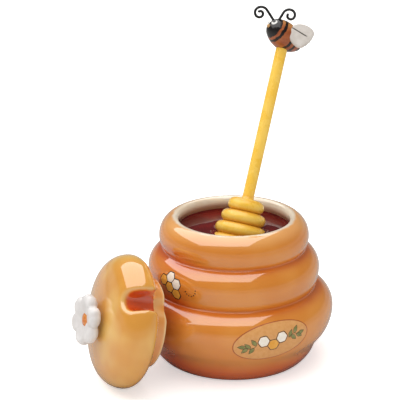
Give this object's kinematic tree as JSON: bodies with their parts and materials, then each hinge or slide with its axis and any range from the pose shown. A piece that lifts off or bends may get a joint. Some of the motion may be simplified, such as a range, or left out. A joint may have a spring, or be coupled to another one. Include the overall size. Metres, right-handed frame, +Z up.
{
  "type": "honey pot",
  "caption": "Round beehive-shaped ceramic pot filled with honey, with a ridged bee-topped dipper standing in it and its domed, notched lid leaning on edge against it.",
  "frame": {"origin": "middle of the pot's foot, on the surface that it stands on", "axes": "+Z up along the pot's axis, +X to the right and +Y away, seen from the front of the pot where its badge is"},
  "size_m": [0.1351, 0.1236, 0.1793],
  "materials": {
    "glazed_pot": "glossy amber-orange glaze",
    "honey": "thick dark amber honey, glossy",
    "dipper_glaze": "glossy yellow",
    "bee_glaze": "glossy brown with black stripes",
    "eye_glaze": "glossy white with black pupils",
    "wing_glaze": "satin off-white",
    "feeler_wire": "black wire",
    "nose_glaze": "glossy tan",
    "glazed_lid": "glossy amber-orange glaze",
    "flower_glaze": "satin off-white",
    "knob_centre_glaze": "glossy orange"
  },
  "bodies": {
    "root": {"honey_pot": "glazed_pot", "honey": "honey", "honey_dipper": "dipper_glaze", "bee_body": "bee_glaze", "bee_eye_left": "eye_glaze", "bee_eye_right": "eye_glaze", "bee_wing_left": "wing_glaze", "bee_wing_right": "wing_glaze", "bee_feeler_left": "feeler_wire", "bee_feeler_right": "feeler_wire", "bee_nose": "nose_glaze", "lid": "glazed_lid", "flower_knob": "flower_glaze", "knob_centre": "knob_centre_glaze"}
  },
  "joints": []
}
